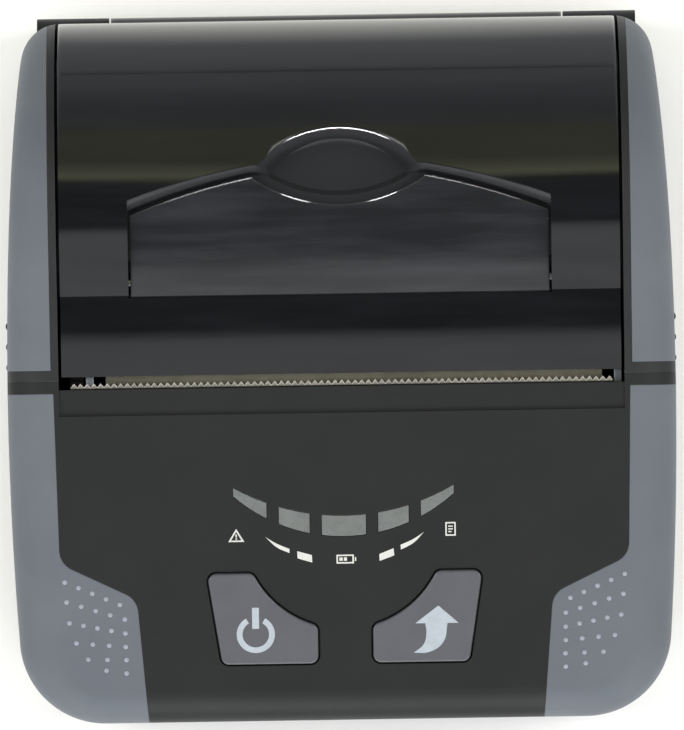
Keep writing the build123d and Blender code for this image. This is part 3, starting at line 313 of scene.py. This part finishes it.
# ink is half the print's thickness, height is that of its middle above the panel
panelSigns = {"inkMm": 0.02, "heightMm": 0.02, "curveSteps": 8}
buttonSigns = {"inkMm": 0.02, "heightMm": 0.42, "curveSteps": 8}

swooshes = [
    [(-12.85, -49.2), (-11.0, -50.35, 1), (-8.95, -51.25), (-8.95, -51.95), (-11.0, -50.95, 1)],
    [(-7.7, -51.65), (-5.3, -52.35), (-5.25, -53.6), (-7.65, -52.85)],
    [(5.7, -52.35), (8.05, -51.4), (8.15, -52.6), (5.75, -53.5)],
    [(9.2, -50.85), (11.2, -49.95, 1), (13.05, -48.75), (11.3, -50.55, 1), (9.25, -51.65)],
]
flatSign("panel_swooshes", swooshes, panelSigns, "whiteScreenInk", "printer_body")

arrow = [[(15.22, -61.05), (18.5, -64.02), (16.7, -64.02), (15.9, -67.3, 1), (13.6, -68.85, 1),
          (11.1, -68.95), (12.75, -67.5, 1), (13.2, -65.6, 1), (13.05, -64.0), (11.4, -64.0)]]
flatSign("feed_arrow", arrow, buttonSigns, "paleBlueScreenInk", "feed_button")


def placed(points, at, size):
    return [(at[0] + x * size, at[1] + y * size) + tuple(rest) for x, y, *rest in points]


# generic signs in the three label places: a warning triangle, a battery and a sheet with lines
triangle = [[(0, 1.1), (1.25, -1.0), (-1.25, -1.0)],
            [(0, 0.62), (0.82, -0.76), (-0.82, -0.76)],
            [(-0.13, 0.2), (0.13, 0.2), (0.08, -0.3), (-0.08, -0.3)],
            [(-0.12, -0.42), (0.12, -0.42), (0.12, -0.62), (-0.12, -0.62)]]
battery = [[(-1.5, 0.75), (1.35, 0.75), (1.35, -0.75), (-1.5, -0.75)],
           [(-1.25, 0.5), (1.1, 0.5), (1.1, -0.5), (-1.25, -0.5)],
           [(1.5, 0.32), (1.72, 0.32), (1.72, -0.32), (1.5, -0.32)],
           [(-1.02, 0.28), (-0.5, 0.28), (-0.5, -0.28), (-1.02, -0.28)],
           [(-0.3, 0.28), (0.2, 0.28), (0.2, -0.28), (-0.3, -0.28)]]
sheet = [[(-0.85, 1.15), (0.85, 1.15), (0.85, -1.15), (-0.85, -1.15)],
         [(-0.62, 0.92), (0.62, 0.92), (0.62, -0.92), (-0.62, -0.92)],
         [(-0.38, 0.55), (0.38, 0.55), (0.38, 0.35), (-0.38, 0.35)],
         [(-0.38, 0.1), (0.38, 0.1), (0.38, -0.1), (-0.38, -0.1)],
         [(-0.38, -0.35), (0.15, -0.35), (0.15, -0.55), (-0.38, -0.55)]]
pictograms = {
    "error_sign": (triangle, (-17.6, -48.9), 1.05),
    "battery_sign": (battery, (0.2, -53.1), 1.0),
    "status_sign": (sheet, (17.4, -48.3), 1.0),
}
for name, (loops, at, size) in pictograms.items():
    flatSign(name, [placed(loop, at, size) for loop in loops], panelSigns, "whiteScreenInk",
             "printer_body")

powerSign = {"at": (-14.68, -65.45), "heightMm": 0.4, "inkMm": 0.04, "outerMm": 3.13, "strokeMm": 0.96,
             "gapDegrees": 30, "barMm": 1.14, "barTop": 4.5, "barFoot": 0.95, "steps": 48}


def powerMark(look):
    mesh = bmesh.new()
    inner = look["outerMm"] - look["strokeMm"]
    gap = radians(look["gapDegrees"])
    turn = Matrix.Rotation(pi / 2 + gap, 4, "Z")
    ends = [mesh.verts.new(turn @ Vector((r * mm, 0, 0))) for r in (inner, look["outerMm"])]
    bmesh.ops.spin(mesh, geom=ends + [mesh.edges.new(ends)], axis=(0, 0, 1), cent=(0, 0, 0),
                   steps=look["steps"], angle=2 * (pi - gap))
    bar = bmesh.ops.create_grid(mesh, x_segments=1, y_segments=1, size=0.5)["verts"]  # a unit square
    height = look["barTop"] - look["barFoot"]
    bmesh.ops.scale(mesh, vec=(look["barMm"] * mm, height * mm, 1), verts=bar)
    bmesh.ops.translate(mesh, vec=(0, (look["barFoot"] + height / 2) * mm, 0), verts=bar)
    lifted = bmesh.ops.extrude_face_region(mesh, geom=mesh.faces[:])["geom"]
    bmesh.ops.translate(mesh, vec=(0, 0, look["inkMm"] * mm),
                        verts=[g for g in lifted if isinstance(g, bmesh.types.BMVert)])
    bmesh.ops.recalc_face_normals(mesh, faces=mesh.faces)
    place = Matrix.Translation([c * mm for c in (*look["at"], look["heightMm"])])
    bmesh.ops.transform(mesh, matrix=panelPlace @ place, verts=mesh.verts)
    data = bpy.data.meshes.new("power_sign")
    mesh.to_mesh(data)
    mesh.free()
    return keepPiece("power_sign", data, "paleBlueScreenInk", "power_button")


powerMark(powerSign)
print("signs printed")

gripDots = {
    "diameterMm": 0.85, "heightMm": 0.1, "subdivisions": 2, "castFromMm": 200,
    # first dot, last dot and number of dots in each row, on the right grip
    "rows": [((45.75, -34.6), (36.82, -38.4), 5), ((45.5, -37.86), (36.05, -40.8), 5),
             ((45.1, -41.27), (36.0, -43.1), 5), ((44.03, -44.6), (36.0, -45.3), 4),
             ((42.13, -47.3), (35.9, -47.48), 3), ((39.2, -49.17), (35.93, -49.67), 2)],
}


def dotsOn(nodeName, side, look):
    grip = nodes[nodeName]
    tree = BVHTree.FromPolygons([v.co for v in grip.data.vertices], [p.vertices for p in grip.data.polygons])
    mesh = bmesh.new()
    for first, last, count in look["rows"]:
        for k in range(count):
            part = k / (count - 1)
            x = side * (first[0] + (last[0] - first[0]) * part) * mm
            y = (first[1] + (last[1] - first[1]) * part) * mm
            above = Vector((x, y, look["castFromMm"] * mm))
            spot, normal, _, _ = tree.ray_cast(above, Vector((0, 0, -1)))
            turn = normal.to_track_quat("Z", "Y").to_matrix().to_4x4()
            shape = Matrix.Diagonal((1, 1, 2 * look["heightMm"] / look["diameterMm"], 1))
            bmesh.ops.create_icosphere(mesh, subdivisions=look["subdivisions"],
                                       radius=look["diameterMm"] / 2 * mm,
                                       matrix=Matrix.Translation(spot) @ turn @ shape)
    for face in mesh.faces:
        face.smooth = True
    data = bpy.data.meshes.new(nodeName + "_dots")
    mesh.to_mesh(data)
    mesh.free()
    # the dots' paler finish is a painted highlight
    return keepPiece(nodeName + "_dots", data, "gripDotsPaintedHighlight", "printer_body")


dotsOn("front_grip_right", 1, gripDots)
dotsOn("front_grip_left", -1, gripDots)
print("grip dots:", 2 * sum(row[2] for row in gripDots["rows"]))

studio = {
    # the darker far floor tone is a painted falloff of light, seen only in what the cover mirrors
    "floor": "F6F6F4", "floorPaintedFalloff": "A8ABB0", "floorHalf": 3.0, "floorRoughness": 0.9, "fade": (0.078, 0.135),
    "world": 1.0,
    # tone of the surroundings against the angle from the zenith towards the rear, in degrees
    "cards": [(-180, "D8D8D8"), (-92, "C8CACC"), (-64, "F0F1F3"), (-22, "F1F2F4"), (-18, "E0E1E3"),
              (-14, "606267"), (-1, "606267"), (8, "66686C"), (14, "71716C"), (18, "FCFFD0"), (21, "E2E2BD"),
              (27, "AAAC8E"), (46, "AFAF94"), (52, "A0A29E"), (64, "A0A2A9"), (84, "C2C6CC"),
              (96, "BCC0C6"), (110, "C8C8C8"), (180, "D8D8D8")],
    "lampsAim": (0, 0, 0.03),
}


def areaLight(name, look):
    lamp = bpy.data.lights.new(name, "AREA")
    lamp.shape = "RECTANGLE"
    lamp.size, lamp.size_y = look["size"]
    lamp.energy = look["power"]
    light = bpy.data.objects.new(name, lamp)
    light.location = look["at"]
    aim = Vector(studio["lampsAim"]) - light.location
    light.rotation_euler = aim.to_track_quat("-Z", "Y").to_euler()
    light.visible_diffuse = look.get("lights", True)
    light.visible_glossy = look.get("mirrored", True)
    if look.get("only"):
        receivers = bpy.data.collections.new(name + "Receivers")
        for nodeName in look["only"]:
            receivers.objects.link(nodes[nodeName])
        light.light_linking.receiver_collection = receivers
    bpy.context.scene.collection.objects.link(light)
    return light


floorMesh = bmesh.new()
bmesh.ops.create_grid(floorMesh, x_segments=1, y_segments=1, size=studio["floorHalf"])
floorData = bpy.data.meshes.new("studio_floor")
floorMesh.to_mesh(floorData)
floorMesh.free()
floor = bpy.data.objects.new("studio_floor", floorData)
bpy.context.scene.collection.objects.link(floor)
floorPaper = bpy.data.materials.new("paleStudioPaper")
floorPaper.use_nodes = True
paper = floorPaper.node_tree
place = addNode(paper, "ShaderNodeTexCoord").outputs["Object"]
reach = addNode(paper, "ShaderNodeVectorMath", {}, {0: place}, operation="LENGTH")
fadeFrom, fadeTo = studio["fade"]
fade = addNode(paper, "ShaderNodeMapRange", {"From Min": fadeFrom, "From Max": fadeTo},
               {"Value": reach.outputs["Value"]}, interpolation_type="SMOOTHSTEP")
# the paper is pale all over; only what the polished cover mirrors of it carries a painted falloff of light,
# darker with distance
rayKind = addNode(paper, "ShaderNodeLightPath")
mirrored = addNode(paper, "ShaderNodeMath", {},
                   {0: fade.outputs["Result"], 1: rayKind.outputs["Is Glossy Ray"]}, operation="MULTIPLY")
paperTone = addNode(paper, "ShaderNodeMix", {6: linear(studio["floor"]), 7: linear(studio["floorPaintedFalloff"])},
                    {"Factor": mirrored.outputs["Value"]}, data_type="RGBA")
paperShader = paper.nodes["Principled BSDF"]
paper.links.new(paperTone.outputs[2], paperShader.inputs["Base Color"])
paperShader.inputs["Roughness"].default_value = studio["floorRoughness"]
floorData.materials.append(floorPaper)

world = bpy.data.worlds.new("studio")
bpy.context.scene.world = world
world.use_nodes = True
sky = world.node_tree
# soft cards in front, overhead and behind; the angle runs from the zenith to the rear
direction = addNode(sky, "ShaderNodeTexCoord").outputs["Generated"]
split = addNode(sky, "ShaderNodeSeparateXYZ", {}, {"Vector": direction})
angle = addNode(sky, "ShaderNodeMath", {}, {0: split.outputs["Y"], 1: split.outputs["Z"]},
                operation="ARCTAN2")
share = addNode(sky, "ShaderNodeMapRange", {"From Min": -pi, "From Max": pi},
                {"Value": angle.outputs["Value"]})
cards = addNode(sky, "ShaderNodeValToRGB", {}, {"Fac": share.outputs["Result"]})
ramp = cards.color_ramp
while len(ramp.elements) < len(studio["cards"]):
    ramp.elements.new(0.5)
for element, (degreesRear, tone) in zip(ramp.elements, studio["cards"]):
    element.position = (degreesRear + 180) / 360
    element.color = linear(tone)
sky.links.new(cards.outputs["Color"], sky.nodes["Background"].inputs["Color"])
sky.nodes["Background"].inputs["Strength"].default_value = studio["world"]

# places and sizes in metres, power in watts
lamps = {
    "keyLeft": {"at": (-1.1, 0.1, 1.1), "size": (0.5, 1.6), "power": 14},
    "keyRight": {"at": (1.1, 0.1, 1.1), "size": (0.5, 1.6), "power": 14},
    "frontWindow": {"at": (0, -1.2, 0.36), "size": (2.0, 0.56), "power": 17},
    # tubes that only the polished cover and lever mirror, for the bright lines on their rounded rims
    "frontTube": {"at": (0, -1.18, 0.36), "size": (1.9, 0.12), "power": 220, "lights": False,
                  "only": ["paper_cover"]},
    "rearTubeLeft": {"at": (-0.33, 1.05, 0.9), "size": (0.2, 0.4), "power": 16, "lights": False,
                     "only": ["opening_lever"]},
    "rearTubeRight": {"at": (0.33, 1.05, 0.9), "size": (0.2, 0.4), "power": 16, "lights": False,
                      "only": ["opening_lever"]},
    # soft fill on the floor behind the printer
    "rearFill": {"at": (0, 1.1, 1.2), "size": (1.6, 0.5), "power": 6, "mirrored": False},
}
for name, look in lamps.items():
    areaLight(name, look)
print("lamps:", len(lamps))
bpy.context.scene.view_settings.view_transform = "Standard"
bpy.context.scene.view_settings.look = "None"

# straight down on the printer, turned by the photo's roll
view = {"tilt": 0.0, "roll": 0.9, "distance": 2.5, "aim": (0.0001, 0.0002, 0.05), "imageHeight": 730,
        "mmPerPixel": 0.163, "sensor": 36.0, "clip": (0.01, 20.0)}
camData = bpy.data.cameras.new("camera")
camera = bpy.data.objects.new("camera", camData)
bpy.context.scene.collection.objects.link(camera)
camera.rotation_euler = (radians(view["tilt"]), 0, radians(-view["roll"]))
bpy.context.view_layer.update()
camera.location = Vector(view["aim"]) + camera.matrix_world.to_3x3() @ Vector((0, 0, view["distance"]))
halfHeight = view["imageHeight"] / 2 * view["mmPerPixel"] * mm
camData.sensor_width = view["sensor"]
camData.lens = camData.sensor_width / 2 * view["distance"] / halfHeight
camData.clip_start, camData.clip_end = view["clip"]
bpy.context.scene.camera = camera
print("camera set")
